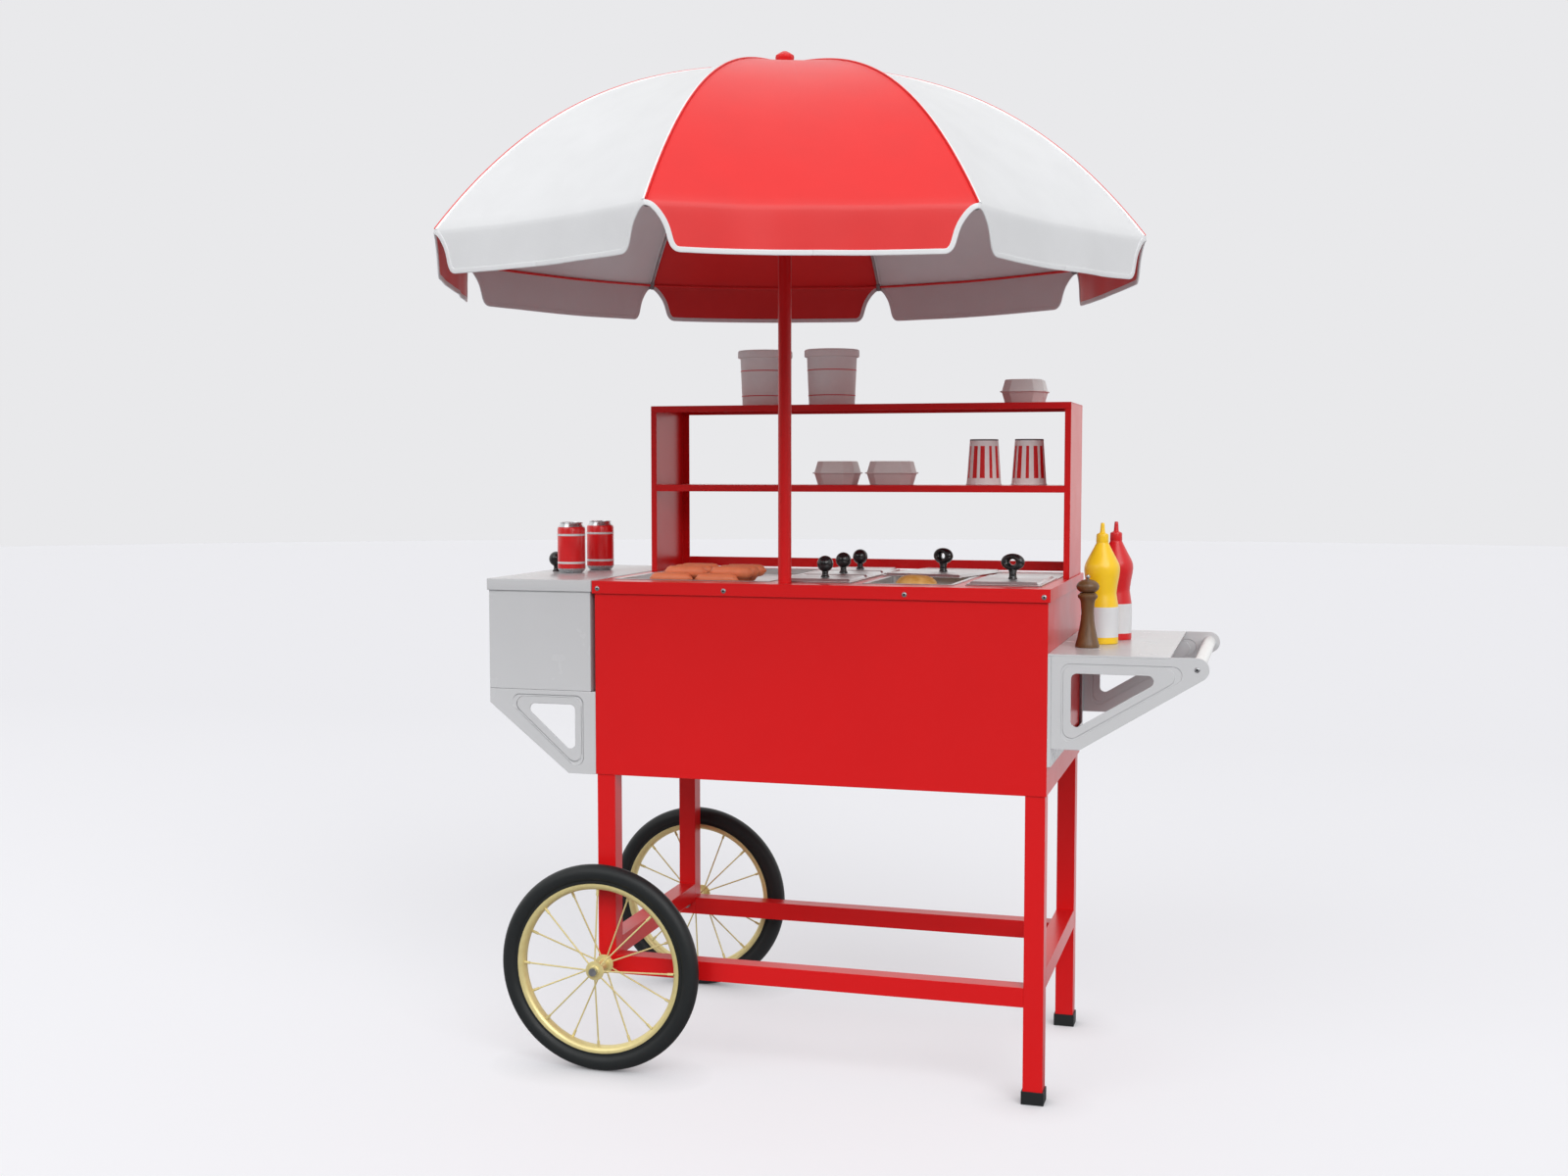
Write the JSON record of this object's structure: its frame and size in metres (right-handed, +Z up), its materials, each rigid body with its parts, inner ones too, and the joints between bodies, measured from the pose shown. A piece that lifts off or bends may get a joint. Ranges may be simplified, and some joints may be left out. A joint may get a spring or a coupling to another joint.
{
  "type": "hot dog cart",
  "caption": "Hot dog push cart on two wire wheels: cabinet with food pans and lids, rear shelves, cold box, side shelf with push handle, and a folding parasol",
  "frame": {"origin": "on the floor, below the middle of the cabinet's length, in the plane of the parasol pole", "axes": "+X from the wheels to the push handle, +Y from the customer's side to the operator's side, +Z up"},
  "size_m": [1.6603, 1.5206, 2.2237],
  "materials": {
    "red_paint": "gloss",
    "grey_paint": "satin",
    "insulated_grey": "satin",
    "white_paint": "gloss",
    "steel": "brushed",
    "gold_paint": "satin",
    "zinc": "bright",
    "tyre": "matt",
    "rubber": "matt",
    "canopy_fabric": "woven",
    "food": "soft",
    "can_metal": "printed",
    "card": "matt",
    "squeeze_plastic": "semi-gloss"
  },
  "bodies": {
    "cart": {"legs": "red_paint", "rails": "red_paint", "front_panel": "red_paint", "end_panels": "red_paint", "worktop": "red_paint", "shelf_ends": "red_paint", "shelves": "red_paint", "gas_bottle": "red_paint", "cold_box": "insulated_grey", "cold_box_bracket": "grey_paint", "side_shelf_plate": "grey_paint", "side_shelf_bracket": "grey_paint", "cabinet_floor": "grey_paint", "pole_socket": "grey_paint", "push_handle": "white_paint", "sausage_pan": "steel", "small_pans": "steel", "large_pans": "steel", "burner": "steel", "screws": "zinc", "axle_bolts": "zinc", "rubber_feet": "rubber", "sausages": "food", "burger_bun": "food", "paper_goods": "card", "condiments": "squeeze_plastic"},
    "front_wheel": {"front_wheel": "gold_paint", "front_tyre": "tyre"},
    "rear_wheel": {"rear_wheel": "gold_paint", "rear_tyre": "tyre"},
    "left_door": {"rear_door_left": "red_paint"},
    "right_door": {"rear_door_right": "red_paint"},
    "small_lid_front": {"small_lid_front": "steel"},
    "small_lid_middle": {"small_lid_middle": "steel"},
    "small_lid_rear": {"small_lid_rear": "steel"},
    "bun_lid": {"bun_lid": "steel"},
    "end_lid": {"end_lid": "steel"},
    "cold_lid": {"cold_box_lid": "grey_paint", "drink_cans": "can_metal"},
    "umbrella": {"pole": "red_paint", "finial": "red_paint", "crown_hub": "zinc", "canopy": "canopy_fabric"},
    "runner": {"runner": "zinc"},
    "rib_1": {"rib_1": "zinc"},
    "stretcher_1": {"stretcher_1": "zinc"},
    "rib_2": {"rib_2": "zinc"},
    "stretcher_2": {"stretcher_2": "zinc"},
    "rib_3": {"rib_3": "zinc"},
    "stretcher_3": {"stretcher_3": "zinc"},
    "rib_4": {"rib_4": "zinc"},
    "stretcher_4": {"stretcher_4": "zinc"},
    "rib_5": {"rib_5": "zinc"},
    "stretcher_5": {"stretcher_5": "zinc"},
    "rib_6": {"rib_6": "zinc"},
    "stretcher_6": {"stretcher_6": "zinc"},
    "rib_7": {"rib_7": "zinc"},
    "stretcher_7": {"stretcher_7": "zinc"},
    "rib_8": {"rib_8": "zinc"},
    "stretcher_8": {"stretcher_8": "zinc"}
  },
  "joints": [
    {"name": "front_wheel_spin", "type": "hinge", "parent": "cart", "child": "front_wheel", "pos_m": [-0.4785, -0.08, 0.232], "axis": [0, 1, 0], "continuous": true},
    {"name": "rear_wheel_spin", "type": "hinge", "parent": "cart", "child": "rear_wheel", "pos_m": [-0.4785, 0.6035, 0.232], "axis": [0, 1, 0], "continuous": true},
    {"name": "left_door_swing", "type": "hinge", "parent": "cart", "child": "left_door", "pos_m": [-0.4885, 0.565, 0.875], "axis": [0, 0, 1], "range_deg": [0, 100]},
    {"name": "right_door_swing", "type": "hinge", "parent": "cart", "child": "right_door", "pos_m": [0.4885, 0.565, 0.875], "axis": [0, 0, -1], "range_deg": [0, 100]},
    {"name": "small_lid_front_lift", "type": "slide", "parent": "cart", "child": "small_lid_front", "axis": [0, 0, 1], "range_m": [0, 0.12]},
    {"name": "small_lid_middle_lift", "type": "slide", "parent": "cart", "child": "small_lid_middle", "axis": [0, 0, 1], "range_m": [0, 0.12]},
    {"name": "small_lid_rear_lift", "type": "slide", "parent": "cart", "child": "small_lid_rear", "axis": [0, 0, 1], "range_m": [0, 0.12]},
    {"name": "bun_lid_lift", "type": "slide", "parent": "cart", "child": "bun_lid", "axis": [0, 0, 1], "range_m": [0, 0.12]},
    {"name": "end_lid_lift", "type": "slide", "parent": "cart", "child": "end_lid", "axis": [0, 0, 1], "range_m": [0, 0.12]},
    {"name": "cold_lid_lift", "type": "slide", "parent": "cart", "child": "cold_lid", "axis": [0, 0, 1], "range_m": [0, 0.15]},
    {"name": "umbrella_lift", "type": "slide", "parent": "cart", "child": "umbrella", "axis": [0, 0, 1], "range_m": [0, 0.42]},
    {"name": "runner_slide", "type": "slide", "parent": "umbrella", "child": "runner", "axis": [0, 0, -1], "range_m": [0, 0.1945], "deforming": ["canopy"]},
    {"name": "rib_1_fold", "type": "hinge", "parent": "umbrella", "child": "rib_1", "pos_m": [-0.05679, -0.01769, 2.17799], "axis": [0.7373, 0.6756, 0], "range_deg": [0, 15]},
    {"name": "stretcher_1_fold", "type": "hinge", "parent": "rib_1", "child": "stretcher_1", "pos_m": [0.20559, -0.30403, 2.08222], "axis": [0.7373, 0.6756, 0], "range_deg": [-30, 0]},
    {"name": "rib_2_fold", "type": "hinge", "parent": "umbrella", "child": "rib_2", "pos_m": [-0.04902, -0.00105, 2.17799], "axis": [0.0436, 0.999, 0], "range_deg": [0, 15]},
    {"name": "stretcher_2_fold", "type": "hinge", "parent": "rib_2", "child": "stretcher_2", "pos_m": [0.33897, -0.01799, 2.08222], "axis": [0.0436, 0.999, 0], "range_deg": [-30, 0]},
    {"name": "rib_3_fold", "type": "hinge", "parent": "umbrella", "child": "rib_3", "pos_m": [-0.0553, 0.01621, 2.17799], "axis": [-0.6756, 0.7373, 0], "range_deg": [0, 15]},
    {"name": "stretcher_3_fold", "type": "hinge", "parent": "rib_3", "child": "stretcher_3", "pos_m": [0.23103, 0.27859, 2.08222], "axis": [-0.6756, 0.7373, 0], "range_deg": [-30, 0]},
    {"name": "rib_4_fold", "type": "hinge", "parent": "umbrella", "child": "rib_4", "pos_m": [-0.07195, 0.02398, 2.17799], "axis": [-0.999, 0.0436, 0], "range_deg": [0, 15]},
    {"name": "stretcher_4_fold", "type": "hinge", "parent": "rib_4", "child": "stretcher_4", "pos_m": [-0.05501, 0.41197, 2.08222], "axis": [-0.999, 0.0436, 0], "range_deg": [-30, 0]},
    {"name": "rib_5_fold", "type": "hinge", "parent": "umbrella", "child": "rib_5", "pos_m": [-0.08921, 0.01769, 2.17799], "axis": [-0.7373, -0.6756, 0], "range_deg": [0, 15]},
    {"name": "stretcher_5_fold", "type": "hinge", "parent": "rib_5", "child": "stretcher_5", "pos_m": [-0.35159, 0.30403, 2.08222], "axis": [-0.7373, -0.6756, 0], "range_deg": [-30, 0]},
    {"name": "rib_6_fold", "type": "hinge", "parent": "umbrella", "child": "rib_6", "pos_m": [-0.09698, 0.00105, 2.17799], "axis": [-0.0436, -0.999, 0], "range_deg": [0, 15]},
    {"name": "stretcher_6_fold", "type": "hinge", "parent": "rib_6", "child": "stretcher_6", "pos_m": [-0.48497, 0.01799, 2.08222], "axis": [-0.0436, -0.999, 0], "range_deg": [-30, 0]},
    {"name": "rib_7_fold", "type": "hinge", "parent": "umbrella", "child": "rib_7", "pos_m": [-0.09069, -0.01621, 2.17799], "axis": [0.6756, -0.7373, 0], "range_deg": [0, 15]},
    {"name": "stretcher_7_fold", "type": "hinge", "parent": "rib_7", "child": "stretcher_7", "pos_m": [-0.37703, -0.27859, 2.08222], "axis": [0.6756, -0.7373, 0], "range_deg": [-30, 0]},
    {"name": "rib_8_fold", "type": "hinge", "parent": "umbrella", "child": "rib_8", "pos_m": [-0.07405, -0.02398, 2.17799], "axis": [0.999, -0.0436, 0], "range_deg": [0, 15]},
    {"name": "stretcher_8_fold", "type": "hinge", "parent": "rib_8", "child": "stretcher_8", "pos_m": [-0.09099, -0.41197, 2.08222], "axis": [0.999, -0.0436, 0], "range_deg": [-30, 0]}
  ],
  "couplings": [
    {"joint": "rib_1_fold", "follows": "runner_slide", "rad_per_m": 1.346},
    {"joint": "stretcher_1_fold", "follows": "runner_slide", "rad_per_m": -2.692},
    {"joint": "rib_2_fold", "follows": "runner_slide", "rad_per_m": 1.346},
    {"joint": "stretcher_2_fold", "follows": "runner_slide", "rad_per_m": -2.692},
    {"joint": "rib_3_fold", "follows": "runner_slide", "rad_per_m": 1.346},
    {"joint": "stretcher_3_fold", "follows": "runner_slide", "rad_per_m": -2.692},
    {"joint": "rib_4_fold", "follows": "runner_slide", "rad_per_m": 1.346},
    {"joint": "stretcher_4_fold", "follows": "runner_slide", "rad_per_m": -2.692},
    {"joint": "rib_5_fold", "follows": "runner_slide", "rad_per_m": 1.346},
    {"joint": "stretcher_5_fold", "follows": "runner_slide", "rad_per_m": -2.692},
    {"joint": "rib_6_fold", "follows": "runner_slide", "rad_per_m": 1.346},
    {"joint": "stretcher_6_fold", "follows": "runner_slide", "rad_per_m": -2.692},
    {"joint": "rib_7_fold", "follows": "runner_slide", "rad_per_m": 1.346},
    {"joint": "stretcher_7_fold", "follows": "runner_slide", "rad_per_m": -2.692},
    {"joint": "rib_8_fold", "follows": "runner_slide", "rad_per_m": 1.346},
    {"joint": "stretcher_8_fold", "follows": "runner_slide", "rad_per_m": -2.692}
  ]
}
